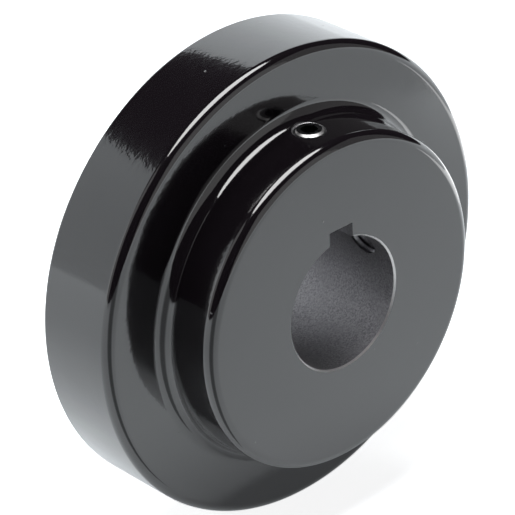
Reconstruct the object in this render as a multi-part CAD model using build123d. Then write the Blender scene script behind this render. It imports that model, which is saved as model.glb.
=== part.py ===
"""Elastomer coupling: two hubs that drive each other through cushion blocks held in a round rim.

Sizes are in millimetres. The shaft axis lies along Y, the drive hub's boss faces -Y, +Z is up
through both keyways, and the origin is on the shaft axis at the middle of the coupling's length.
A part's clock angle is counted about the shaft from +Z towards +X.
"""

import os
from math import cos, degrees, radians, sin, tan

from build123d import *

# Shaft fit, the same in both hubs
bore_diameter = 28.575
key_width = 6.35
keyway_depth = 2.94
bore_chamfer = 0.35

# Drive hub: a flanged casting with a boss in front and an open pocket behind
rim_diameter = 101.6
rim_width = 19.5
rim_wall = 7.2
rim_front_round = 2.1
rim_back_round = 0.8
web_thickness = 6.5
boss_diameter = 71.9
boss_length = 13.2
boss_draft_angle = 1.5
boss_front_round = 2.2
boss_root_fillet = 3.2
drive_bore_length = 26.2
nose_wall = 7.7

# Lobes that stand inward from the rim and carry the drive
lobe_count = 6
lobe_angle = 15.0
lobe_tip_gap = 2.3
lobe_tip_round = 1.5
pocket_corner_round = 1.6
pocket_floor_round = 0.8

# Driven hub: a ring with blades, a web and a boss behind
hub_gap = 1.5
ring_gap = 1.2
ring_wall = 7.0
ring_edge_round = 0.8
blade_angle = 13.0
blade_tip_gap = 1.2
blade_tip_round = 1.4
blade_root_fillet = 1.6
blade_end_float = 0.9
driven_web_thickness = 5.3
driven_boss_diameter = 50.0
driven_boss_length = 23.6
driven_boss_round = 1.6
driven_root_fillet = 2.0

# Elastomer blocks, one on each side of every blade
block_side_fit = 0.1
block_end_gap = 0.3
block_radial_gap = 0.6
block_waist = 0.8
block_corner_round = 1.6
block_edge_round = 0.7

# End ring that keeps the blocks in the pocket
end_ring_thickness = 2.2
end_ring_inset = 0.5
end_ring_seat_step = 1.6
end_ring_fit = 0.2
end_ring_cover = 3.6
ear_wall = 0.95
ear_tip_round = 1.5
ear_root_round = 1.5
ring_screw_diameter = 3.5
ring_screw_head_diameter = 6.8
ring_screw_countersink_angle = 82.0
ring_screw_length = 8.5
ring_screw_hex = 1.98
ring_screw_hex_depth = 1.5
ring_screw_hole_spare = 0.8
screw_clearance = 0.05

# Set screws: one over the keyway and one beside it in each hub
set_screw_diameter = 6.35
set_screw_hex = 3.175
set_screw_hex_depth = 3.0
set_screw_end_chamfer = 0.6
set_screw_cup_radius = 1.7
set_screw_cup_depth = 0.7
set_screw_hex_turn = 15.0
set_screw_mouth = 0.35
side_screw_angle = 65.0
drive_screw_length = 12.7
drive_screw_setback = 7.9
drive_screw_stand = 0.35
driven_screw_length = 6.35
driven_screw_setback = 8.4
driven_screw_sink = 0.6

# Cutters reach this far past the faces that they open
cut_spare = 1.0

# A round takes no more than this share of the wall that it stands on
round_share = 0.45

# Radii worked out from the sizes above
bore_radius = bore_diameter / 2
keyway_roof = bore_radius + keyway_depth
rim_radius = rim_diameter / 2
pocket_radius = rim_radius - rim_wall
boss_slope = tan(radians(boss_draft_angle))
boss_radius = boss_diameter / 2
boss_root_radius = boss_radius + boss_length * boss_slope
drive_screw_top = boss_radius + drive_screw_setback * boss_slope
nose_radius = bore_radius + nose_wall
ring_inner_radius = nose_radius + ring_gap
ring_outer_radius = ring_inner_radius + ring_wall
lobe_tip_radius = ring_outer_radius + lobe_tip_gap
blade_tip_radius = pocket_radius - blade_tip_gap
driven_boss_radius = driven_boss_diameter / 2
end_ring_seat_radius = pocket_radius + end_ring_seat_step
ring_screw_circle = (lobe_tip_radius + end_ring_seat_radius) / 2
set_screw_radius = set_screw_diameter / 2
set_screw_hole_radius = set_screw_radius + screw_clearance

# Stations along the shaft, from the drive hub's front face to the driven hub's back face
driven_bore_length = driven_web_thickness + driven_boss_length
coupling_length = drive_bore_length + hub_gap + driven_bore_length
front_face = -coupling_length / 2
flange_face = front_face + boss_length
pocket_floor = flange_face + web_thickness
nose_face = front_face + drive_bore_length
rim_back = flange_face + rim_width
end_ring_back = rim_back - end_ring_inset
end_ring_seat = end_ring_back - end_ring_thickness
blade_front = pocket_floor + blade_end_float
blade_back = end_ring_seat - blade_end_float
web_front = nose_face + hub_gap
web_back = web_front + driven_web_thickness
back_face = web_back + driven_boss_length
drive_screw_station = front_face + drive_screw_setback
driven_screw_station = back_face - driven_screw_setback

# Angles around the shaft
pitch_angle = 360 / lobe_count
block_angle = (pitch_angle - lobe_angle - blade_angle) / 2
lobe_angles = [pitch_angle * step for step in range(lobe_count)]
blade_angles = [angle + pitch_angle / 2 for angle in lobe_angles]


def front_plane(station):
    """A drawing plane across the shaft, seen from the front: X to the right and Z up."""
    return Plane(origin=(0, station, 0), x_dir=(1, 0, 0), z_dir=(0, -1, 0))


def extrude_back(sketch, start, end):
    """Extrudes a sketch drawn as seen from the front, from one station back to another."""
    return extrude(front_plane(start) * sketch, amount=start - end)


def around(shape, angle):
    """Turns a shape about the shaft, clockwise as seen from the front."""
    return Rot(0, angle, 0) * shape


def clock_point(radius, angle):
    """The point of a front view at a radius and a clock angle from the top."""
    return (radius * sin(radians(angle)), radius * cos(radians(angle)))


def sector(inner, outer, angle, waist=0.0):
    """A sector about the top of a front view. A waist draws its two arcs towards each other."""
    left_inner, right_inner = clock_point(inner, -angle / 2), clock_point(inner, angle / 2)
    left_outer, right_outer = clock_point(outer, -angle / 2), clock_point(outer, angle / 2)
    outline = [
        Line(left_inner, left_outer),
        ThreePointArc(left_outer, (0, outer - waist), right_outer),
        Line(right_outer, right_inner),
        ThreePointArc(right_inner, (0, inner + waist), left_inner),
    ]
    return make_face(outline)


def turned_copies(sketch, angles):
    """Copies of a front view's shape, one at each clock angle."""
    copies = Sketch()
    for angle in angles:
        copies += Rot(0, 0, -angle) * sketch
    return copies


def held_round(size, wall):
    """The size of a round, held to its share of the wall that it stands on."""
    return min(size, round_share * wall)


def corners_at(sketch, radius):
    """The corners of a front view that lie at a radius from the shaft."""
    tolerance = 0.01
    return [corner for corner in sketch.vertices() if abs(Vector(corner).length - radius) < tolerance]


def corner_near(profile, radius, station):
    """The corner of a turned profile that is nearest to a radius and a station."""
    return profile.vertices().sort_by_distance((radius, station, 0))[0]


def turned(profile):
    """Turns a profile, drawn with its radius along X and its station along Y, about the shaft."""
    return revolve(profile, axis=Axis.Y)


def shaft_bore(start, end):
    """The bore with its keyway and its two chamfered mouths, as a cutter."""
    bore = extrude_back(Circle(bore_radius), start - cut_spare, end + cut_spare)
    keyway = extrude_back(
        Pos(0, keyway_roof / 2) * Rectangle(key_width, keyway_roof),
        start - cut_spare,
        end + cut_spare,
    )
    mouths = [
        (0, start - cut_spare),
        (bore_radius + bore_chamfer + cut_spare, start - cut_spare),
        (bore_radius, start + bore_chamfer),
        (bore_radius, end - bore_chamfer),
        (bore_radius + bore_chamfer + cut_spare, end + cut_spare),
        (0, end + cut_spare),
    ]
    return bore + keyway + turned(make_face(Polyline(*mouths, close=True)))


def set_screw_hole(surface_radius, station, angle):
    """A radial hole from the bore out through the boss, with a countersunk mouth, as a cutter."""
    start = bore_radius / 2
    outline = [
        (0, 0, start),
        (set_screw_hole_radius, 0, start),
        (set_screw_hole_radius, 0, surface_radius - set_screw_mouth),
        (set_screw_hole_radius + set_screw_mouth + cut_spare, 0, surface_radius + cut_spare),
        (0, 0, surface_radius + cut_spare),
    ]
    hole = revolve(make_face(Polyline(*outline, close=True)), axis=Axis.Z)
    return around(Pos(0, station, 0) * hole, angle)


def set_screw(length, outer_radius, station, angle):
    """A socket set screw that points at the shaft, with its outer end at a radius from it."""
    body = Pos(0, 0, length / 2) * Cylinder(set_screw_radius, length)
    body = chamfer(body.edges().filter_by(GeomType.CIRCLE), set_screw_end_chamfer)
    hexagon = Rot(0, 0, set_screw_hex_turn) * RegularPolygon(set_screw_hex / 2, 6, major_radius=False)
    socket = extrude(Pos(0, 0, length) * hexagon, amount=-set_screw_hex_depth)
    cup = Pos(0, 0, set_screw_cup_depth / 2) * Cone(
        set_screw_cup_radius, 0, set_screw_cup_depth
    )
    return around(Pos(0, station, outer_radius - length) * (body - socket - cup), angle)


def lobe_sketch():
    """The front view of all lobes, reaching into the rim that they stand on."""
    return turned_copies(sector(lobe_tip_radius, rim_radius, lobe_angle), lobe_angles)


def pocket_sketch():
    """The front view of the pocket: a ring round the nose with the lobes left standing."""
    lobe_height = pocket_radius - lobe_tip_radius
    pocket = Circle(pocket_radius) - lobe_sketch()
    pocket = fillet(corners_at(pocket, lobe_tip_radius), held_round(lobe_tip_round, lobe_height))
    pocket = fillet(corners_at(pocket, pocket_radius), held_round(pocket_corner_round, lobe_height))
    return pocket - Circle(nose_radius)


def pocket_cutter():
    """The pocket, open behind, with a cast round all along the edge of its floor."""
    pocket = extrude_back(pocket_sketch(), pocket_floor, rim_back + cut_spare)
    return fillet(pocket.faces().sort_by(Axis.Y)[0].edges(), pocket_floor_round)


def drive_hub_profile():
    """Half of the drive hub's outline: boss, drafted boss side, flange face and rim."""
    outline = [
        (0, front_face),
        (boss_radius, front_face),
        (boss_root_radius, flange_face),
        (rim_radius, flange_face),
        (rim_radius, rim_back),
        (0, rim_back),
    ]
    profile = make_face(Polyline(*outline, close=True))
    profile = fillet(corner_near(profile, boss_radius, front_face), boss_front_round)
    profile = fillet(corner_near(profile, boss_root_radius, flange_face), boss_root_fillet)
    profile = fillet(corner_near(profile, rim_radius, flange_face), rim_front_round)
    return fillet(corner_near(profile, rim_radius, rim_back), rim_back_round)


def make_drive_hub():
    """The flanged hub: boss and bore in front, lobed pocket and end ring seat behind."""
    hub = turned(drive_hub_profile())
    hub -= pocket_cutter()
    hub -= extrude_back(Circle(ring_inner_radius), nose_face, rim_back + cut_spare)
    hub -= extrude_back(Circle(end_ring_seat_radius), end_ring_seat, rim_back + cut_spare)
    hub -= shaft_bore(front_face, nose_face)
    for angle in (0, side_screw_angle):
        hub -= set_screw_hole(drive_screw_top, drive_screw_station, angle)
    thread_end = end_ring_back - ring_screw_length - ring_screw_hole_spare
    thread_radius = ring_screw_diameter / 2 + screw_clearance
    thread = Pos(0, ring_screw_circle) * Circle(thread_radius)
    hub -= extrude_back(turned_copies(thread, lobe_angles), thread_end, rim_back)
    return hub


def make_driven_hub():
    """The driven hub: a ring with blades round the nose, a web and a boss behind."""
    outline = [
        (0, web_front),
        (ring_inner_radius, web_front),
        (ring_inner_radius, blade_front),
        (ring_outer_radius, blade_front),
        (ring_outer_radius, web_back),
        (driven_boss_radius, web_back),
        (driven_boss_radius, back_face),
        (0, back_face),
    ]
    profile = make_face(Polyline(*outline, close=True))
    profile = fillet(corner_near(profile, ring_inner_radius, web_front), ring_edge_round)
    profile = fillet(corner_near(profile, ring_inner_radius, blade_front), ring_edge_round)
    profile = fillet(corner_near(profile, ring_outer_radius, web_back), ring_edge_round)
    root_fillet = held_round(driven_root_fillet, ring_outer_radius - driven_boss_radius)
    profile = fillet(corner_near(profile, driven_boss_radius, web_back), root_fillet)
    profile = fillet(corner_near(profile, driven_boss_radius, back_face), driven_boss_round)
    blades = turned_copies(sector(ring_inner_radius, blade_tip_radius, blade_angle), blade_angles)
    star = Circle(ring_outer_radius) + blades
    blade_height = blade_tip_radius - ring_outer_radius
    star = fillet(corners_at(star, blade_tip_radius), held_round(blade_tip_round, blade_height))
    star = fillet(corners_at(star, ring_outer_radius), held_round(blade_root_fillet, blade_height))
    star -= Circle((ring_inner_radius + ring_outer_radius) / 2)
    hub = turned(profile) + extrude_back(star, blade_front, blade_back)
    hub -= shaft_bore(web_front, back_face)
    for angle in (0, -side_screw_angle):
        hub -= set_screw_hole(driven_boss_radius, driven_screw_station, angle)
    return hub


def block_sketch():
    """The front view of one block, centred on the top: radial sides and waisted ends."""
    inner = ring_outer_radius + block_radial_gap
    outer = pocket_radius - block_radial_gap
    middle = (inner + outer) / 2
    fit_angle = degrees(2 * block_side_fit / middle)
    block = sector(inner, outer, block_angle - fit_angle, block_waist)
    return fillet(block.vertices(), block_corner_round)


def make_block():
    """One elastomer block, centred on the top of the pocket, with its rims rounded."""
    front = pocket_floor + block_end_gap
    back = end_ring_seat - block_end_gap
    block = extrude_back(block_sketch(), front, back)
    rims = block.faces().sort_by(Axis.Y)[0].edges() + block.faces().sort_by(Axis.Y)[-1].edges()
    return fillet(rims, block_edge_round)


def block_turns():
    """The clock angle of every block, going round from the first lobe."""
    turns = []
    for angle in lobe_angles:
        turns.append(angle + (lobe_angle + block_angle) / 2)
        turns.append(angle + pitch_angle - (lobe_angle + block_angle) / 2)
    return turns


def ring_screw_countersink(spare):
    """The cone under a ring screw's head, pointing forward, wider by the spare all round."""
    head_radius = ring_screw_head_diameter / 2 + spare
    shank_radius = ring_screw_diameter / 2 + spare
    height = (head_radius - shank_radius) / tan(radians(ring_screw_countersink_angle / 2))
    outline = [
        (0, end_ring_back),
        (head_radius, end_ring_back),
        (shank_radius, end_ring_back - height),
        (0, end_ring_back - height),
    ]
    return turned(make_face(Polyline(*outline, close=True)))


def make_end_ring():
    """The end ring: narrow over the blocks, with an ear over each lobe for its screw."""
    inner = pocket_radius - end_ring_cover
    ear_tip = ring_screw_circle - ring_screw_head_diameter / 2 - ear_wall
    ear_height = inner - ear_tip
    ears = turned_copies(sector(ear_tip, pocket_radius, lobe_angle), lobe_angles)
    opening = Circle(inner) - ears
    opening = fillet(corners_at(opening, ear_tip), held_round(ear_tip_round, ear_height))
    opening = fillet(corners_at(opening, inner), held_round(ear_root_round, ear_height))
    ring = Circle(end_ring_seat_radius - end_ring_fit) - opening
    plate = extrude_back(ring, end_ring_seat, end_ring_back)
    hole_radius = ring_screw_diameter / 2 + screw_clearance
    holes = turned_copies(Pos(0, ring_screw_circle) * Circle(hole_radius), lobe_angles)
    plate -= extrude_back(holes, end_ring_seat - cut_spare, end_ring_back + cut_spare)
    for angle in lobe_angles:
        plate -= around(Pos(0, 0, ring_screw_circle) * ring_screw_countersink(screw_clearance), angle)
    return plate


def make_ring_screw():
    """One flat-head socket screw of the end ring, at the top, with its head flush behind."""
    shank = extrude_back(
        Circle(ring_screw_diameter / 2), end_ring_back - ring_screw_length, end_ring_back
    )
    screw = shank + ring_screw_countersink(0)
    socket = RegularPolygon(ring_screw_hex / 2, 6, major_radius=False)
    screw -= extrude_back(socket, end_ring_back - ring_screw_hex_depth, end_ring_back + cut_spare)
    return Pos(0, 0, ring_screw_circle) * screw


def write(name, shape):
    """Writes one piece, or one group of like pieces, to its own file."""
    export_step(shape, f"parts/{name}.step")


os.makedirs("parts", exist_ok=True)
write("drive_hub", make_drive_hub())
write("driven_hub", make_driven_hub())
write("end_ring", make_end_ring())
ring_screw = make_ring_screw()
write("end_ring_screws", Compound(children=[around(ring_screw, angle) for angle in lobe_angles]))

block = make_block()
for number, turn in enumerate(block_turns(), start=1):
    write(f"elastomer_block_{number:02d}", around(block, turn))

drive_screw = (drive_screw_length, drive_screw_top + drive_screw_stand, drive_screw_station)
driven_screw = (driven_screw_length, driven_boss_radius - driven_screw_sink, driven_screw_station)
write("drive_key_set_screw", set_screw(*drive_screw, 0))
write("drive_side_set_screw", set_screw(*drive_screw, side_screw_angle))
write("driven_key_set_screw", set_screw(*driven_screw, 0))
write("driven_side_set_screw", set_screw(*driven_screw, -side_screw_angle))
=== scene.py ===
"""Elastomer coupling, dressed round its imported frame: iron hubs, rubber blocks, steel fasteners.

Pieces are drawn in millimetres in the frame's own axes and scaled to metres when they are made.
The shaft lies along Y, the drive boss faces -Y and +Z is up. A clock angle runs from +Z to +X.
"""

from math import acos, asin, atan2, ceil, cos, hypot, pi, radians, sin, sqrt, tan

import bmesh
import bpy
from mathutils import Matrix, Vector


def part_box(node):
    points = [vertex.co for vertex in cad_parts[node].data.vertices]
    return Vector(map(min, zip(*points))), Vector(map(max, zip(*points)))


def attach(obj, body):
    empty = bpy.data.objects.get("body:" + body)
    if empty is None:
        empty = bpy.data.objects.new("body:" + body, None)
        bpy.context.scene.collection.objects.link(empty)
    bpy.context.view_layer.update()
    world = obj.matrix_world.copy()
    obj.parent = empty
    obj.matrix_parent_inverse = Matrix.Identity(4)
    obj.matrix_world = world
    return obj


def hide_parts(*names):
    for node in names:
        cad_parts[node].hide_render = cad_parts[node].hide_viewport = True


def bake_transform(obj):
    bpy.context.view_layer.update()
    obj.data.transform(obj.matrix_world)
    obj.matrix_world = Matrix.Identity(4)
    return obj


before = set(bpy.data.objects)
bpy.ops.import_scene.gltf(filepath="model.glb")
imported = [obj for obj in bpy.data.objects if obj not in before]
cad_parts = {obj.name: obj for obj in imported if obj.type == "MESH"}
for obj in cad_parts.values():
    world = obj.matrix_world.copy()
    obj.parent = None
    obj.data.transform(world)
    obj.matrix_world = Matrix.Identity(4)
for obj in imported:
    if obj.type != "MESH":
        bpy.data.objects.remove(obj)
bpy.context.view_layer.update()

MM = 0.001

# Sizes that the frame gives, in millimetres
hub_low, hub_high = (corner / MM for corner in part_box("drive_hub"))
driven_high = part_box("driven_hub")[1] / MM
ring_low, ring_high = (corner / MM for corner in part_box("end_ring"))
drive_screw_low, drive_screw_high = (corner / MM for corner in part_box("drive_key_set_screw"))
driven_screw_low, driven_screw_high = (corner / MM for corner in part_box("driven_key_set_screw"))
front_face = hub_low.y
rim_radius = hub_high.x
rim_back = hub_high.y
back_face = driven_high.y
end_ring_seat = ring_low.y
end_ring_back = ring_high.y
end_ring_radius = ring_high.x

# Shaft fit
bore_radius = 14.2875
key_width = 6.35
keyway_roof = 17.2275
bore_chamfer = 0.35

# Drive hub
rim_wall = 7.2
rim_front_round = 2.1
rim_back_round = 0.8
web_thickness = 6.5
boss_radius = 35.95
boss_length = 13.2
boss_draft_angle = 1.5
boss_front_round = 2.2
boss_root_fillet = 3.2
drive_bore_length = 26.2
nose_wall = 7.7
seat_step = 1.6
seat_bare_depth = 3.5
lobe_count = 6
lobe_angle = 15.0
lobe_tip_gap = 2.3
lobe_tip_round = 1.5
pocket_corner_round = 1.6
pocket_floor_round = 0.8

# Driven hub
hub_gap = 1.5
ring_gap = 1.2
ring_wall = 7.0
ring_edge_round = 0.8
blade_angle = 13.0
blade_tip_gap = 1.2
blade_tip_round = 1.4
blade_root_fillet = 1.6
blade_edge_round = 0.4
blade_end_float = 0.9
driven_web_thickness = 5.3
driven_boss_radius = 25.0
driven_boss_round = 1.6
driven_root_fillet = 2.0

# Elastomer blocks
block_side_fit = 0.1
block_end_gap = 0.3
block_radial_gap = 0.6
block_waist = 0.8
block_corner_round = 1.6
block_edge_round = 0.7

# End ring and its screws
end_ring_cover = 3.6
ear_wall = 0.95
ear_round = 1.5
ring_edge_break = 0.25
ring_screw_diameter = 3.5
ring_screw_head_diameter = 6.8
ring_screw_countersink_angle = 82.0
ring_screw_length = 8.5
ring_screw_hex = 1.98
ring_screw_hex_depth = 1.5
ring_screw_pitch = 0.6
ring_screw_clearance = 0.05
ring_screw_tip_chamfer = 0.3
ring_screw_thread_depth = 0.3
ring_screw_thread_runout = 0.2
ring_screw_head_land = 0.12
ring_screw_land_draw = 0.1

# Set screws
set_screw_radius = 3.175
set_screw_clearance = 0.05
set_screw_pitch = 1.27
thread_depth = 0.55
tapped_depth = 0.35
set_screw_hex = 3.175
set_screw_hex_depth = 3.0
set_screw_chamfer = 0.6
set_screw_chamfer_depth = 0.35
set_screw_cup_radius = 1.7
set_screw_cup_depth = 0.7
set_screw_hex_turn = 15.0
set_screw_mouth = 0.35
set_screw_mouth_depth = 0.2
side_screw_angle = 65.0
drive_screw_setback = 7.9
driven_screw_setback = 8.4

# Thread form: how steep the flanks are, and the flat between them, as shares of half a pitch
thread_flank = 1.25
thread_flat = 0.125

# How finely round shapes are drawn: steps round a circle, degrees per step, rings per thread pitch
turn_steps = 360
screw_steps = 72
arc_step = 1.0
round_step = 9.0
thread_rings = 10

# How far a cutter stands past what it cuts, and the slack when points or faces are compared
cut_spare = 1.0
face_slack = 0.01
merge_distance = 1e-5
tiny = 1e-6

# Shading: edges sharper than these angles stay sharp
metal_edge_angle = 28.0
rubber_edge_angle = 40.0
normal_weight = 60

# The photograph's view: angles in degrees, places in metres, the lens in millimetres
view_azimuth = -41.265
view_elevation = 29.291
view_roll = -3.280
view_distance = 0.66775
view_aim = (0.00135, -0.00134, -0.00021)
view_lens = 227.18
view_sensor_width = 36.0
view_clip_start = 0.01

# The table and its backdrop, in metres
table_front = -2.5
table_half_width = 2.6
table_bend = 0.25
table_bend_steps = 12
backdrop_at = 1.5
backdrop_height = 1.45

# The table's tones: white to the camera, and a glow in mirrored rays that changes with the distance
# from the object:
# a painted contact shadow right at the object, painted light that fills its shadow and evens the
# table out further away, and painted shade towards the left. A wedge of it is darker, a painted
# shadow, which the boss's left side mirrors.
white = (1, 1, 1, 1)
black = (0, 0, 0, 1)
table_tone = (0.86, 0.905, 0.93, 1)
camera_glow = 0.84
near_glow = 0.24
near_reach = (0.02, 0.055)
middle_glow = 0.12
middle_reach = (0.06, 0.18)
far_glow = 1.1
far_reach = (0.2, 1.1)
left_share = 0.65
left_reach = (-1.6, 0.2)
# Painted shadow on the table: the wedge's apex, direction, full and soft half-angles, and how dark
# it goes
shade_from = (-0.03, -0.03, 0)
shade_azimuth = -134
shade_narrow = 12
shade_wide = 24
shade_level = 0.3
room_tone = (0.025, 0.02, 0.025)

# Soft boxes: centre and size in metres, power in watts
top_box_at = (0.0, 0.06, 0.85)
top_box_size = (0.9, 0.54)
top_box_power = 7.0
front_card_at = (0.25, -1.34, 0.53)
front_card_size = (1.36, 1.25)
front_card_power = 2.4
side_card_at = (1.05, -0.79, 0.52)
side_card_size = (0.74, 1.15)
side_card_power = 0.55
left_card_at = (-1.325, 0.59, 0.95)
left_card_size = (0.83, 2.0)
left_card_power = 2.5
back_box_at = (0.05, 1.0, 0.1)
back_box_size = (0.5, 0.4)
back_box_power = 6.0
right_box_at = (0.17, -0.03, -0.035)
right_box_size = (0.2, 0.03)
right_box_power = 0.028

# Places worked out from the sizes above
flange_face = front_face + boss_length
pocket_floor = flange_face + web_thickness
nose_face = front_face + drive_bore_length
web_front = nose_face + hub_gap
web_back = web_front + driven_web_thickness
blade_front = pocket_floor + blade_end_float
blade_back = end_ring_seat - blade_end_float
pocket_radius = rim_radius - rim_wall
seat_radius = pocket_radius + seat_step
nose_radius = bore_radius + nose_wall
ring_inner = nose_radius + ring_gap
ring_outer = ring_inner + ring_wall
lobe_tip = ring_outer + lobe_tip_gap
blade_tip = pocket_radius - blade_tip_gap
boss_slope = tan(radians(boss_draft_angle))
boss_root_radius = boss_radius + boss_length * boss_slope
drive_screw_station = front_face + drive_screw_setback
driven_screw_station = back_face - driven_screw_setback
drive_hole_top = boss_radius + drive_screw_setback * boss_slope
ring_screw_circle = (lobe_tip + seat_radius) / 2
pitch_angle = 360 / lobe_count
block_angle = (pitch_angle - lobe_angle - blade_angle) / 2
lobe_angles = [pitch_angle * step for step in range(lobe_count)]
blade_angles = [angle + pitch_angle / 2 for angle in lobe_angles]


def polar(radius, angle):
    """The point (x, z) at a radius and a clock angle."""
    return (radius * sin(radians(angle)), radius * cos(radians(angle)))


def arc(centre, start, end, radius, step=round_step):
    """Points on the short arc from start to end about a centre, both ends included."""
    first = atan2(start[1] - centre[1], start[0] - centre[0])
    sweep = atan2(end[1] - centre[1], end[0] - centre[0]) - first
    sweep = (sweep + pi) % (2 * pi) - pi
    count = max(2, ceil(abs(sweep) / radians(step)))
    angles = [first + sweep * k / count for k in range(count + 1)]
    return [(centre[0] + radius * cos(a), centre[1] + radius * sin(a)) for a in angles]


def rounded(corners):
    """A polygon whose corners (x, y, round) are replaced by arcs where they have a round."""
    points = []
    count = len(corners)
    for k, (x, y, size) in enumerate(corners):
        if not size:
            points.append((x, y))
            continue
        here = Vector((x, y))
        before = (Vector(corners[k - 1][:2]) - here).normalized()
        after = (Vector(corners[(k + 1) % count][:2]) - here).normalized()
        half = acos(max(-1.0, min(1.0, before.dot(after)))) / 2
        centre = here + (before + after).normalized() * size / sin(half)
        reach = size / tan(half)
        points += arc(centre, here + before * reach, here + after * reach, size)
    return points


def short_turn(first, second):
    """The signed turn from one clock angle to another, the short way round."""
    return (second - first + 180) % 360 - 180


def polar_outline(corners):
    """An outline of arcs about the shaft and radial lines, from corners (radius, angle, round).

    Two corners in a row share a radius, with the short arc between them, or an angle, with a
    radial line between them.
    """
    count = len(corners)
    rounds = []
    for k, (radius, angle, size) in enumerate(corners):
        before, after = corners[k - 1], corners[(k + 1) % count]
        line_first = abs(before[1] - angle) < tiny
        on_line, on_curve = (before, after) if line_first else (after, before)
        inward = 1 if on_line[0] < radius else -1
        turn = 1 if short_turn(angle, on_curve[1]) > 0 else -1
        reach = radius - inward * size
        lean = angle + turn * asin(size / reach) / radians(1)
        centre = polar(reach, lean)
        on_arc = polar(radius, lean)
        on_side = polar(sqrt(reach * reach - size * size), angle)
        ends = (on_side, on_arc) if line_first else (on_arc, on_side)
        rounds.append((lean, arc(centre, *ends, size) if size else [polar(radius, angle)]))
    points = []
    for k, (lean, bend) in enumerate(rounds):
        points += bend
        radius, after = corners[k][0], corners[(k + 1) % count]
        if abs(after[0] - radius) < tiny:
            sweep = short_turn(lean, rounds[(k + 1) % count][0])
            steps = max(1, ceil(abs(sweep) / arc_step))
            points += [polar(radius, lean + sweep * j / steps) for j in range(1, steps)]
    return points


def circle(radius, steps=turn_steps):
    """Points round a circle, clockwise on the clock."""
    return [polar(radius, 360 * k / steps) for k in range(steps)]


def inset(points, depth):
    """An outline moved by a depth to the right of its direction of travel."""
    moved = []
    count = len(points)
    for k, (x, z) in enumerate(points):
        before, after = points[k - 1], points[(k + 1) % count]
        along = Vector((after[0] - before[0], after[1] - before[1])).normalized()
        moved.append((x + along.y * depth, z - along.x * depth))
    return moved


def new_object(name, mesh_data, material):
    """An object in the scene from a bmesh in millimetres, with one material."""
    bmesh.ops.remove_doubles(mesh_data, verts=mesh_data.verts, dist=merge_distance)
    bmesh.ops.recalc_face_normals(mesh_data, faces=mesh_data.faces)
    bmesh.ops.scale(mesh_data, vec=(MM, MM, MM), verts=mesh_data.verts)
    mesh = bpy.data.meshes.new(name)
    mesh_data.to_mesh(mesh)
    mesh_data.free()
    mesh.materials.append(material)
    made = bpy.data.objects.new(name, mesh)
    bpy.context.scene.collection.objects.link(made)
    return made


def prism(name, material, outer, start, end, holes=(), start_round=0.0, end_round=0.0):
    """A straight prism along Y between two stations, with its end edges rounded inwards.

    The outer outline runs clockwise on the clock and its holes run the other way, so the
    material always lies to the right.
    """
    levels = [(start + start_round, 0.0), (end - end_round, 0.0)]
    steps = round(90 / round_step)
    turns = [pi / 2 * k / steps for k in range(1, steps + 1)]
    if start_round:
        low = [(start + start_round * (1 - sin(a)), start_round * (1 - cos(a))) for a in turns]
        levels = low[::-1] + levels
    if end_round:
        levels += [(end - end_round * (1 - sin(a)), end_round * (1 - cos(a))) for a in turns]
    mesh_data = bmesh.new()
    caps = {0: [], len(levels) - 1: []}
    for outline in (outer, *holes):
        rings = []
        for station, depth in levels:
            points = inset(outline, depth) if depth else outline
            rings.append([mesh_data.verts.new((x, station, z)) for x, z in points])
        for near, far in zip(rings, rings[1:]):
            for k in range(len(near)):
                mesh_data.faces.new((near[k - 1], near[k], far[k], far[k - 1]))
        for level in caps:
            ring = rings[level]
            caps[level] += [mesh_data.edges.get((ring[k - 1], ring[k])) for k in range(len(ring))]
    for edges in caps.values():
        if holes:
            bmesh.ops.triangle_fill(mesh_data, edges=edges, use_beauty=True)
        else:
            bmesh.ops.edgeloop_fill(mesh_data, edges=edges)
    return new_object(name, mesh_data, material)


def threaded(radius, station, turn, pitch, crest, depth):
    """The radius of a threaded skin at a station and a turn about its axis."""
    phase = (station / pitch - turn / (2 * pi)) % 1
    ridge = min(1.0, max(0.0, thread_flank * abs(2 * phase - 1) - thread_flat))
    groove = crest - depth * (1 - ridge)
    return min(radius, groove) if depth > 0 else max(radius, groove)


def spun(name, material, profile, steps=turn_steps, axis="Y", thread=None):
    """A solid of revolution about Y or Z, from a closed profile of points (radius, station).

    A thread (start, end, pitch, crest, depth) winds a right-hand groove round the skin between
    two stations: inwards from the crest on a screw, or outwards in a hole, where depth is negative.
    """
    mesh_data = bmesh.new()
    rings = []
    for radius, station in profile:
        ring = []
        for k in range(steps):
            turn = 2 * pi * k / steps
            reach = radius
            if thread and radius and thread[0] < station < thread[1]:
                reach = threaded(radius, station, turn, *thread[2:])
            if axis == "Y":
                point = (reach * sin(turn), station, reach * cos(turn))
            else:
                point = (reach * cos(turn), reach * sin(turn), station)
            ring.append(mesh_data.verts.new(point))
        rings.append(ring)
    for near, far in zip(rings, rings[1:] + rings[:1]):
        for k in range(steps):
            mesh_data.faces.new((near[k - 1], near[k], far[k], far[k - 1]))
    bmesh.ops.remove_doubles(mesh_data, verts=mesh_data.verts, dist=merge_distance)
    bmesh.ops.dissolve_degenerate(mesh_data, edges=mesh_data.edges, dist=tiny)
    return new_object(name, mesh_data, material)


def place(obj, matrix):
    """Moves an object's mesh, so that the object itself stays at the origin."""
    obj.data.transform(matrix)
    return obj


def spoke(station, angle, out=0.0):
    """The matrix that takes a piece drawn along +Z at the origin out along a clock angle."""
    return (
        Matrix.Translation((0, station * MM, 0))
        @ Matrix.Rotation(radians(angle), 4, "Y")
        @ Matrix.Translation((0, 0, out * MM))
    )


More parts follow.
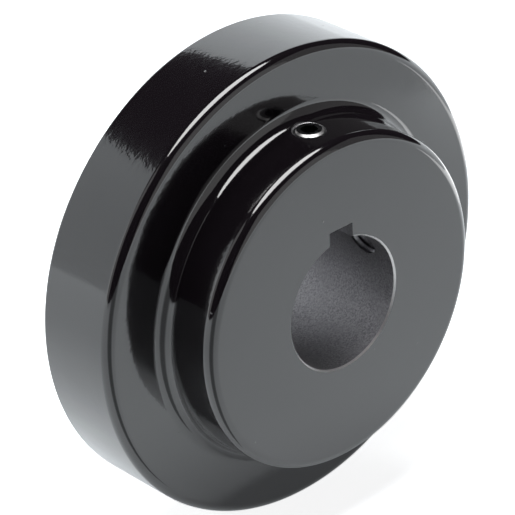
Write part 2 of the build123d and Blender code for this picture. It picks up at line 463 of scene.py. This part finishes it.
def combine(base, others, operation="DIFFERENCE"):
    """Cuts other objects from a base, or joins them to it, and removes the others."""
    for other in others:
        change = base.modifiers.new(other.name, "BOOLEAN")
        change.operation = operation
        change.solver = "EXACT"
        change.object = other
        change.material_mode = "TRANSFER"
    evaluated = base.evaluated_get(bpy.context.evaluated_depsgraph_get())
    mesh = bpy.data.meshes.new_from_object(evaluated)
    base.modifiers.clear()
    old = base.data
    base.data = mesh
    bpy.data.meshes.remove(old)
    for other in others:
        bpy.data.meshes.remove(other.data)
    return base


def smooth(obj, sharp):
    """Gives a piece smooth shading, with true edges where faces meet at more than an angle."""
    obj.data.polygons.foreach_set("use_smooth", [True] * len(obj.data.polygons))
    obj.data.set_sharp_from_angle(angle=radians(sharp))


def dress(obj, body, node):
    """Finishes a hard piece: its shading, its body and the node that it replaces."""
    smooth(obj, metal_edge_angle)
    even = obj.modifiers.new("even_normals", "WEIGHTED_NORMAL")
    even.keep_sharp = True
    even.weight = normal_weight
    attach(obj, body)
    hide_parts(node)


class Nodes:
    """A material with a Principled shader, and short ways to add and link nodes."""

    def __init__(self, name, **sockets):
        self.material = bpy.data.materials.new(name)
        self.material.use_nodes = True
        self.tree = self.material.node_tree
        self.shader = self.tree.nodes["Principled BSDF"]
        for socket, value in sockets.items():
            self.set(self.shader, socket.replace("_", " ").title(), value)

    def set(self, node, socket, value):
        """Sets an input, by name or number, to a value or to another node's output."""
        target = node.inputs[socket] if isinstance(socket, int) else self.socket(node, socket)
        if isinstance(value, bpy.types.NodeSocket):
            self.tree.links.new(value, target)
        else:
            target.default_value = value

    def socket(self, node, name):
        """The input in use that has a name, in capitals or not."""
        wanted = name.lower()
        return next(s for s in node.inputs if s.name.lower() == wanted and s.enabled)

    def add(self, kind, settings=(), **sockets):
        """A new node with its settings, and its inputs by name, with _ for a space."""
        node = self.tree.nodes.new("ShaderNode" + kind)
        for setting, value in dict(settings).items():
            setattr(node, setting, value)
        for socket, value in sockets.items():
            self.set(node, socket.replace("_", " "), value)
        return node

    def position(self):
        """The place on the object, in metres."""
        return self.add("TexCoord").outputs["Object"]

    def noise(self, scale, detail=2.0, roughness=0.5, vector=None):
        """Soft noise about 0.5, with a scale in waves per metre."""
        vector = vector or self.position()
        node = self.add("TexNoise", Vector=vector, Scale=scale, Detail=detail, Roughness=roughness)
        return node.outputs["Fac"]

    def ramp(self, value, low, high, start, end):
        """Maps a value from start..end to low..high, held at both ends."""
        node = self.add(
            "MapRange", Value=value, From_Min=start, From_Max=end, To_Min=low, To_Max=high
        )
        return node.outputs["Result"]

    def vector(self, operation, first, second=(0, 0, 0), output="Vector"):
        """The result of a vector operation."""
        node = self.add("VectorMath", {"operation": operation})
        self.set(node, 0, first)
        self.set(node, 1, second)
        return node.outputs[output]

    def math(self, operation, first, second):
        """The result of an operation on two numbers."""
        node = self.add("Math", {"operation": operation})
        self.set(node, 0, first)
        self.set(node, 1, second)
        return node.outputs[0]

    def mix(self, fac, first, second):
        """A colour between two, which is the second where fac is 1."""
        node = self.add("Mix", {"data_type": "RGBA"}, Factor=fac, A=first, B=second)
        return next(s for s in node.outputs if s.enabled)

    def bump(self, height, distance, normal=None):
        """A normal bent by a height, whose full rise is a distance in metres."""
        node = self.add("Bump", Height=height, Distance=distance)
        if normal:
            self.set(node, "Normal", normal)
        return node.outputs["Normal"]


def gloss_paint():
    """Thick gloss black enamel over cast iron: soft orange peel, slow waves and a few dust nibs."""
    enamel_ior = 1.6
    m = Nodes("gloss_black_enamel", roughness=0.1, ior=enamel_ior, coat_weight=1.0)
    m.set(m.shader, "Coat Roughness", 0.035)
    m.set(m.shader, "Coat IOR", enamel_ior)
    deep, worn = (0.005, 0.0036, 0.005, 1), (0.0075, 0.006, 0.0075, 1)
    m.set(m.shader, "Base Color", m.mix(m.noise(scale=60.0, detail=3.0), deep, worn))
    waves = m.bump(m.noise(scale=95.0, detail=1.0), distance=0.00003)
    peel = m.bump(m.noise(scale=620.0, roughness=0.55), distance=0.00001, normal=waves)
    fine = m.bump(m.noise(scale=1500.0, detail=1.0), distance=0.000004, normal=peel)
    nib = m.add("TexVoronoi", Vector=m.position(), Scale=240.0)
    spot = m.ramp(nib.outputs["Distance"], 1.0, 0.0, start=0.02, end=0.06)
    lot = m.add("SeparateColor", Color=nib.outputs["Color"]).outputs[0]
    nib_threshold = 0.72
    chosen = m.math("GREATER_THAN", lot, nib_threshold)
    nibs = m.bump(m.math("MULTIPLY", spot, chosen), distance=0.00006, normal=fine)
    m.set(m.shader, "Normal", nibs)
    m.set(m.shader, "Coat Normal", nibs)
    return m.material


def bored_iron():
    """Bare bored cast iron: grey, finely mottled, with faint tool rings along the shaft."""
    m = Nodes("bored_iron", metallic=1.0)
    grain = m.noise(scale=2400.0, detail=3.0, roughness=0.75)
    cloud = m.noise(scale=180.0)
    dark, light, even = (0.25, 0.246, 0.256, 1), (0.55, 0.542, 0.56, 1), (0.39, 0.385, 0.397, 1)
    mottled = m.mix(m.ramp(grain, 0.0, 1.0, start=0.36, end=0.64), dark, light)
    grey = m.mix(m.ramp(cloud, 0.0, 0.5, start=0.4, end=0.7), mottled, even)
    m.set(m.shader, "Base Color", grey)
    m.set(m.shader, "Roughness", m.ramp(grain, 0.36, 0.56, start=0.3, end=0.7))
    along = m.add("SeparateXYZ", Vector=m.position()).outputs["Y"]
    rings = m.add("TexNoise", {"noise_dimensions": "1D"}, W=along, Scale=5200.0, Detail=2.0)
    marks = m.bump(rings.outputs["Fac"], distance=0.000012)
    m.set(m.shader, "Normal", m.bump(grain, distance=0.00002, normal=marks))
    return m.material


def black_oxide_steel():
    """Black-oxide alloy steel of the screws: dark, slightly oily, with a satin sheen."""
    m = Nodes("black_oxide_steel", metallic=1.0)
    tone = m.noise(scale=900.0, detail=3.0)
    m.set(m.shader, "Base Color", m.mix(tone, (0.035, 0.036, 0.04, 1), (0.085, 0.085, 0.09, 1)))
    m.set(m.shader, "Roughness", m.ramp(tone, 0.24, 0.4, start=0.3, end=0.7))
    m.set(m.shader, "Normal", m.bump(m.noise(scale=5000.0), distance=0.000004))
    return m.material


def cut_metal():
    """Freshly cut metal on the small chamfers, where the paint and the oxide never took."""
    m = Nodes("cut_metal", metallic=1.0)
    tone = m.noise(scale=1500.0)
    m.set(m.shader, "Base Color", m.mix(tone, (0.62, 0.615, 0.61, 1), (0.78, 0.775, 0.77, 1)))
    m.set(m.shader, "Roughness", m.ramp(tone, 0.36, 0.5, start=0.3, end=0.7))
    return m.material


def rolled_steel():
    """Zinc-plated steel of the end ring: grey, with fine lines across it and a light haze."""
    m = Nodes("rolled_steel", metallic=1.0)
    stretch = m.add("Mapping", Vector=m.position(), Scale=(1.0, 1.0, 24.0))
    lines = m.noise(scale=900.0, detail=4.0, roughness=0.6, vector=stretch.outputs["Vector"])
    cloud = m.noise(scale=120.0)
    m.set(m.shader, "Base Color", m.mix(cloud, (0.29, 0.29, 0.295, 1), (0.36, 0.357, 0.355, 1)))
    m.set(m.shader, "Roughness", m.ramp(lines, 0.34, 0.5, start=0.3, end=0.7))
    m.set(m.shader, "Normal", m.bump(lines, distance=0.000008))
    return m.material


def moulded_rubber():
    """Moulded black rubber: matt, faintly mottled, with a fine mould texture."""
    m = Nodes("moulded_rubber", specular_ior_level=0.4)
    bloom = m.noise(scale=260.0, detail=3.0)
    m.set(m.shader, "Base Color", m.mix(bloom, (0.018, 0.018, 0.019, 1), (0.04, 0.039, 0.038, 1)))
    m.set(m.shader, "Roughness", m.ramp(bloom, 0.5, 0.72, start=0.3, end=0.7))
    m.set(m.shader, "Normal", m.bump(m.noise(scale=2200.0), distance=0.00002))
    return m.material


def keyway_cutter(start, end):
    """The keyway's straight slot through a bore."""
    half = key_width / 2
    slot = [(-half, 0.0), (-half, keyway_roof), (half, keyway_roof), (half, 0.0)]
    return prism("keyway", iron, slot, start - cut_spare, end + cut_spare)


def brighten(obj, start, end):
    """Gives the faces between two stations along Z the bright cut metal of a chamfer."""
    obj.data.materials.append(bright)
    for face in obj.data.polygons:
        if start < face.center.z / MM < end:
            face.material_index = 1


def screw_hole(surface, station, angle):
    """A tapped radial hole from the bore to the boss's skin, countersunk at its mouth."""
    radius = set_screw_radius + set_screw_clearance
    start = bore_radius / 2
    rings = ceil((surface - start) / set_screw_pitch * thread_rings)
    top = surface - set_screw_mouth_depth
    wall = [(radius, start + (top - start) * k / rings) for k in range(rings + 1)]
    mouth, above = radius + set_screw_mouth, surface + cut_spare
    profile = [(0, start), *wall, (mouth, surface), (mouth, above), (0, above)]
    thread = (start, top, set_screw_pitch, radius, -tapped_depth)
    cutter = spun("hole", iron, profile, screw_steps, "Z", thread)
    return place(cutter, spoke(station, angle))


def drive_hub_profile():
    """The drive hub's closed outline with its bore: boss, flange, rim, end ring seat and nose."""
    return rounded([
        (bore_radius, front_face + bore_chamfer, 0),
        (bore_radius + bore_chamfer, front_face, 0),
        (boss_radius, front_face, boss_front_round),
        (boss_root_radius, flange_face, boss_root_fillet),
        (rim_radius, flange_face, rim_front_round),
        (rim_radius, rim_back, rim_back_round),
        (seat_radius, rim_back, 0),
        (seat_radius, end_ring_seat, 0),
        (ring_inner, end_ring_seat, 0),
        (ring_inner, nose_face, 0),
        (bore_radius + bore_chamfer, nose_face, 0),
        (bore_radius, nose_face - bore_chamfer, 0),
    ])


def pocket_outline():
    """The pocket's outer edge: the rim's inner wall with the lobes standing in."""
    corners = []
    for angle in lobe_angles:
        left, right = angle - lobe_angle / 2, angle + lobe_angle / 2
        corners += [
            (pocket_radius, left, pocket_corner_round),
            (lobe_tip, left, lobe_tip_round),
            (lobe_tip, right, lobe_tip_round),
            (pocket_radius, right, pocket_corner_round),
        ]
    return polar_outline(corners)


def make_drive_hub():
    """The near hub: one enamelled casting with machined bore, keyway and tapped holes."""
    hub = spun("drive_hub_casting", paint, drive_hub_profile())
    pocket = prism(
        "pocket",
        paint,
        pocket_outline(),
        pocket_floor,
        end_ring_seat + cut_spare,
        holes=[circle(nose_radius)[::-1]],
        start_round=pocket_floor_round,
    )
    cutters = [pocket, keyway_cutter(front_face, nose_face)]
    cutters += [screw_hole(drive_hole_top, drive_screw_station, a) for a in (0, side_screw_angle)]
    hub = combine(hub, cutters)
    paint_bore(hub)
    bare_seat(hub)
    dress(hub, "drive_half", "drive_hub")


def paint_bore(hub):
    """Gives a hub's bore bare iron, and the chamfers at its ends cut metal."""
    hub.data.materials.append(bright)
    bare, cut = (list(hub.data.materials).index(metal) for metal in (iron, bright))
    for face in hub.data.polygons:
        radius = hypot(face.center.x, face.center.z) / MM
        if radius < bore_radius + bore_chamfer and face.material_index == 0:
            face.material_index = cut if radius > bore_radius else bare


def bare_seat(hub):
    """Gives the end ring's machined seat bare iron."""
    bare = list(hub.data.materials).index(iron)
    for face in hub.data.polygons:
        radius = hypot(face.center.x, face.center.z) / MM
        if face.center.y / MM > rim_back - seat_bare_depth and radius < seat_radius + face_slack:
            face.material_index = bare


def driven_hub_profile():
    """The driven hub's closed outline with its bore: ring, web and boss."""
    return rounded([
        (bore_radius, web_front + bore_chamfer, 0),
        (bore_radius + bore_chamfer, web_front, 0),
        (ring_inner, web_front, ring_edge_round),
        (ring_inner, blade_front, ring_edge_round),
        (ring_outer, blade_front, blade_edge_round),
        (ring_outer, web_back, ring_edge_round),
        (driven_boss_radius, web_back, driven_root_fillet),
        (driven_boss_radius, back_face, driven_boss_round),
        (bore_radius + bore_chamfer, back_face, 0),
        (bore_radius, back_face - bore_chamfer, 0),
    ])


def star_outline():
    """The blades' outer edge, standing out from the ring."""
    corners = []
    for angle in blade_angles:
        left, right = angle - blade_angle / 2, angle + blade_angle / 2
        corners += [
            (ring_outer, left, blade_root_fillet),
            (blade_tip, left, blade_tip_round),
            (blade_tip, right, blade_tip_round),
            (ring_outer, right, blade_root_fillet),
        ]
    return polar_outline(corners)


def make_driven_hub():
    """The far hub: blades, web and boss in one enamelled casting."""
    hub = spun("driven_hub_casting", paint, driven_hub_profile())
    middle = (ring_inner + ring_outer) / 2
    star = prism(
        "blades",
        paint,
        star_outline(),
        blade_front,
        blade_back,
        holes=[circle(middle)[::-1]],
        start_round=blade_edge_round,
        end_round=blade_edge_round,
    )
    hub = combine(hub, [star], "UNION")
    cutters = [keyway_cutter(web_front, back_face)]
    for angle in (0, -side_screw_angle):
        cutters.append(screw_hole(driven_boss_radius, driven_screw_station, angle))
    hub = combine(hub, cutters)
    paint_bore(hub)
    dress(hub, "driven_half", "driven_hub")


def make_end_ring():
    """The end ring with an ear over each lobe, and its countersunk holes."""
    inner = pocket_radius - end_ring_cover
    ear_tip = ring_screw_circle - ring_screw_head_diameter / 2 - ear_wall
    corners = []
    for angle in lobe_angles:
        left, right = angle - lobe_angle / 2, angle + lobe_angle / 2
        corners += [(inner, left, ear_round), (ear_tip, left, ear_round)]
        corners += [(ear_tip, right, ear_round), (inner, right, ear_round)]
    ring = prism(
        "end_ring_plate",
        ring_steel,
        circle(end_ring_radius),
        end_ring_seat,
        end_ring_back,
        holes=[polar_outline(corners)[::-1]],
        start_round=ring_edge_break,
        end_round=ring_edge_break,
    )
    spare = ring_screw_clearance
    head, shank = ring_screw_head_diameter / 2 + spare, ring_screw_diameter / 2 + spare
    slope = tan(radians(ring_screw_countersink_angle / 2))
    height = (head - shank) / slope
    profile = [
        (0, end_ring_seat - cut_spare),
        (shank, end_ring_seat - cut_spare),
        (shank, end_ring_back - height),
        (head + cut_spare * slope, end_ring_back + cut_spare),
        (0, end_ring_back + cut_spare),
    ]
    cutters = []
    for angle in lobe_angles:
        cutter = spun("countersink", ring_steel, profile, screw_steps)
        turn = Matrix.Rotation(radians(angle), 4, "Y")
        cutters.append(place(cutter, turn @ Matrix.Translation((0, 0, ring_screw_circle * MM))))
    dress(combine(ring, cutters), "drive_half", "end_ring")


def hexagon(flats, turn=0.0):
    """A hexagon's outline from its width across flats, with a corner at a turn from the X axis."""
    return [polar(flats / sqrt(3), 90 + turn + 60 * k) for k in range(6)]


def make_ring_screws():
    """The end ring's six flat-head socket screws."""
    head, shank = ring_screw_head_diameter / 2, ring_screw_diameter / 2
    height = (head - shank) / tan(radians(ring_screw_countersink_angle / 2))
    tip = end_ring_back - ring_screw_length
    under = end_ring_back - height
    start = tip + ring_screw_tip_chamfer
    rings = ceil((under - tip) / ring_screw_pitch * thread_rings)
    body = [(shank, start + (under - start) * k / rings) for k in range(rings + 1)]
    profile = [(0, tip), (shank - ring_screw_tip_chamfer, tip), *body]
    profile.append((head - ring_screw_land_draw, end_ring_back - ring_screw_head_land))
    profile += [(head - ring_screw_head_land, end_ring_back), (0, end_ring_back)]
    last = under - ring_screw_thread_runout
    thread = (tip, last, ring_screw_pitch, shank, ring_screw_thread_depth)
    screw = spun("ring_screw", screw_steel, profile, screw_steps, "Y", thread)
    floor = end_ring_back - ring_screw_hex_depth
    socket = prism("socket", screw_steel, hexagon(ring_screw_hex), floor, end_ring_back + cut_spare)
    screw = combine(screw, [socket])
    screws = bmesh.new()
    for angle in lobe_angles:
        copy = screw.data.copy()
        turn = Matrix.Rotation(radians(angle), 4, "Y")
        copy.transform(turn @ Matrix.Translation((0, 0, ring_screw_circle * MM)))
        screws.from_mesh(copy)
        bpy.data.meshes.remove(copy)
    screws.to_mesh(screw.data)
    screws.free()
    screw.name = "end_ring_screw_set"
    dress(screw, "drive_half", "end_ring_screws")


def make_set_screw(node, body, station, angle, length, end):
    """A socket set screw: threaded shank, chamfered ends, hex socket outside and cup point."""
    radius = set_screw_radius
    rings = ceil(length / set_screw_pitch * thread_rings)
    low, high = set_screw_chamfer, length - set_screw_chamfer_depth
    wall = [(radius, low + (high - low) * k / rings) for k in range(rings + 1)]
    profile = [(0, set_screw_cup_depth), (set_screw_cup_radius, 0), (radius - set_screw_chamfer, 0)]
    profile += [*wall, (radius - set_screw_chamfer, length), (0, length)]
    thread = (0, length, set_screw_pitch, radius, thread_depth)
    screw = spun(f"{node}_threaded", screw_steel, profile, screw_steps, "Z", thread)
    brighten(screw, high, length - face_slack)
    floor = length - set_screw_hex_depth
    flats = hexagon(set_screw_hex, set_screw_hex_turn)
    socket = prism("socket", screw_steel, flats, floor, length + cut_spare)
    place(socket, Matrix.Rotation(pi / 2, 4, "X"))
    combine(screw, [socket])
    place(screw, spoke(station, angle, end - length))
    dress(screw, body, node)


def make_set_screws():
    """All four set screws: one over the keyway and one beside it in each hub."""
    drive = (drive_screw_high.z - drive_screw_low.z, drive_screw_high.z)
    driven = (driven_screw_high.z - driven_screw_low.z, driven_screw_high.z)
    for half, station, sized, side in (
        ("drive", drive_screw_station, drive, side_screw_angle),
        ("driven", driven_screw_station, driven, -side_screw_angle),
    ):
        make_set_screw(f"{half}_key_set_screw", f"{half}_key_screw", station, 0, *sized)
        make_set_screw(f"{half}_side_set_screw", f"{half}_side_screw", station, side, *sized)


def block_outline():
    """One block about the top of the clock, with its inner and outer faces waisted."""
    inner, outer = ring_outer + block_radial_gap, pocket_radius - block_radial_gap
    middle = (inner + outer) / 2
    spread = block_angle - 2 * block_side_fit / middle / radians(1)
    half = spread / 2
    corners = [
        (outer, -half, block_corner_round),
        (outer, half, block_corner_round),
        (inner, half, block_corner_round),
        (inner, -half, block_corner_round),
    ]
    points = []
    for x, z in polar_outline(corners):
        radius, angle = hypot(x, z), atan2(x, z) / radians(1)
        draw = block_waist * max(0.0, 1 - (angle / half) ** 2)
        radius += draw if radius < middle else -draw
        points.append(polar(radius, angle))
    return points


def make_block(number, turn):
    """One rubber block at a clock angle."""
    node = f"elastomer_block_{number:02d}"
    block = prism(
        f"{node}_moulded",
        rubber,
        block_outline(),
        pocket_floor + block_end_gap,
        end_ring_seat - block_end_gap,
        start_round=block_edge_round,
        end_round=block_edge_round,
    )
    place(block, Matrix.Rotation(radians(turn), 4, "Y"))
    smooth(block, rubber_edge_angle)
    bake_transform(block)
    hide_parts(node)


def make_blocks():
    """The twelve rubber blocks, each sheared between a lobe's flank and a blade's flank."""
    off_lobe = lobe_angle / 2 + block_angle / 2
    for k, lobe in enumerate(lobe_angles):
        make_block(2 * k + 1, lobe + off_lobe)
        make_block(2 * k + 2, lobe + pitch_angle - off_lobe)


def make_camera():
    """The camera at the photograph's angle, looking down at the boss from the front left."""
    azimuth, elevation = radians(view_azimuth), radians(view_elevation)
    back = Vector((sin(azimuth) * cos(elevation), -cos(azimuth) * cos(elevation), sin(elevation)))
    lens = bpy.data.cameras.new("camera")
    lens.lens = view_lens
    lens.sensor_width = view_sensor_width
    lens.clip_start = view_clip_start
    camera = bpy.data.objects.new("camera", lens)
    bpy.context.scene.collection.objects.link(camera)
    camera.location = Vector(view_aim) + back * view_distance
    level = (-back).to_track_quat("-Z", "Y").to_matrix().to_4x4()
    turned = level @ Matrix.Rotation(radians(view_roll), 4, "Z")
    camera.rotation_euler = turned.to_euler()
    bpy.context.scene.camera = camera


def make_lamp(name, place_at, aim, width, depth, power, shape="RECTANGLE"):
    """A soft box: an area lamp that the camera doesn't see."""
    lamp = bpy.data.lights.new(name, "AREA")
    lamp.shape = shape
    lamp.size, lamp.size_y = width, depth
    lamp.energy = power
    box = bpy.data.objects.new(name, lamp)
    bpy.context.scene.collection.objects.link(box)
    box.location = place_at
    box.rotation_euler = (Vector(aim) - Vector(place_at)).to_track_quat("-Z", "Y").to_euler()
    box.visible_camera = False


def table_white():
    """The table's material: white to the camera, with a glow that only mirrored rays see, which
    holds painted light and shade.
    """
    m = Nodes("white_table", roughness=1.0, specular_ior_level=0.0)
    rays = m.add("LightPath")
    seen, mirrored = rays.outputs["Is Camera Ray"], rays.outputs["Is Glossy Ray"]
    away = m.vector("LENGTH", m.position(), output="Value")
    across = m.add("SeparateXYZ", Vector=m.position()).outputs["X"]
    # Painted contact shadow and painted light: the glow rises from nothing at the object, dips,
    # then climbs far out, lower to the left.
    near = m.ramp(away, 0.0, near_glow, *near_reach)
    middle = m.ramp(away, 0.0, middle_glow - near_glow, *middle_reach)
    leftward = m.ramp(across, left_share, 1.0, *left_reach)
    far = m.math("MULTIPLY", m.ramp(away, 0.0, far_glow - middle_glow, *far_reach), leftward)
    # Painted shadow: a wedge of the table, darker in its colour and its glow.
    flat = m.vector("MULTIPLY", m.vector("SUBTRACT", m.position(), shade_from), (1, 1, 0))
    toward = (sin(radians(shade_azimuth)), cos(radians(shade_azimuth)), 0)
    facing = m.vector("DOT_PRODUCT", m.vector("NORMALIZE", flat), toward, "Value")
    wide, narrow = cos(radians(shade_wide)), cos(radians(shade_narrow))
    painted_shade_wedge = m.ramp(facing, 1.0, shade_level, wide, narrow)
    # Painted shade: the table's colour goes towards black inside the wedge.
    m.set(m.shader, "Base Color", m.mix(painted_shade_wedge, black, table_tone))
    level = m.math("ADD", m.math("ADD", near, middle), far)
    glow = m.math("MULTIPLY", m.math("MULTIPLY", mirrored, level), painted_shade_wedge)
    m.set(m.shader, "Emission Color", m.mix(seen, table_tone, white))
    m.set(m.shader, "Emission Strength", m.math("ADD", m.math("MULTIPLY", seen, camera_glow), glow))
    return m.material


def make_stage():
    """The table under the object, which curves up into a backdrop behind it."""
    floor = -rim_radius * MM
    bend_start = backdrop_at - table_bend
    path = [(table_front, floor), (bend_start, floor)]
    for k in range(1, table_bend_steps + 1):
        turn = pi / 2 * k / table_bend_steps
        path.append((bend_start + table_bend * sin(turn), floor + table_bend * (1 - cos(turn))))
    path.append((backdrop_at, floor + backdrop_height))
    sheet = bmesh.new()
    sides = (-table_half_width, table_half_width)
    rows = [[sheet.verts.new((x, y, z)) for x in sides] for y, z in path]
    for near, far in zip(rows, rows[1:]):
        sheet.faces.new((near[0], near[1], far[1], far[0]))
    mesh = bpy.data.meshes.new("table")
    sheet.to_mesh(mesh)
    sheet.free()
    mesh.polygons.foreach_set("use_smooth", [True] * len(mesh.polygons))
    mesh.materials.append(table_white())
    table = bpy.data.objects.new("table", mesh)
    bpy.context.scene.collection.objects.link(table)


def make_room():
    """The dim room, white where the camera looks past the table."""
    world = bpy.data.worlds.new("room")
    bpy.context.scene.world = world
    world.use_nodes = True
    tree = world.node_tree
    shade = tree.nodes["Background"]
    rays = tree.nodes.new("ShaderNodeLightPath")
    tone = tree.nodes.new("ShaderNodeMix")
    tone.data_type = "RGBA"
    tree.links.new(rays.outputs["Is Camera Ray"], tone.inputs["Factor"])
    sides = [s for s in tone.inputs if s.enabled and s.name in ("A", "B")]
    sides[0].default_value = (*room_tone, 1)
    sides[1].default_value = white
    tree.links.new(next(s for s in tone.outputs if s.enabled), shade.inputs["Color"])


# The materials and the pieces
paint = gloss_paint()
iron = bored_iron()
bright = cut_metal()
screw_steel = black_oxide_steel()
ring_steel = rolled_steel()
rubber = moulded_rubber()
make_drive_hub()
make_driven_hub()
make_end_ring()
make_ring_screws()
make_set_screws()
make_blocks()

# The stage, the light and the view
make_stage()
make_room()
make_lamp("top_box", top_box_at, top_box_at[:2] + (0,), *top_box_size, top_box_power, "ELLIPSE")
make_lamp("front_card", front_card_at, (0, 0, front_card_at[2]), *front_card_size, front_card_power)
make_lamp("side_card", side_card_at, (0, 0, side_card_at[2]), *side_card_size, side_card_power)
make_lamp("left_card", left_card_at, (0, 0, left_card_at[2]), *left_card_size, left_card_power)
make_lamp("back_box", back_box_at, (0, 0, 0), *back_box_size, back_box_power)
make_lamp("right_box", right_box_at, (0, 0, right_box_at[2]), *right_box_size, right_box_power)
make_camera()
bpy.context.scene.view_settings.view_transform = "Standard"
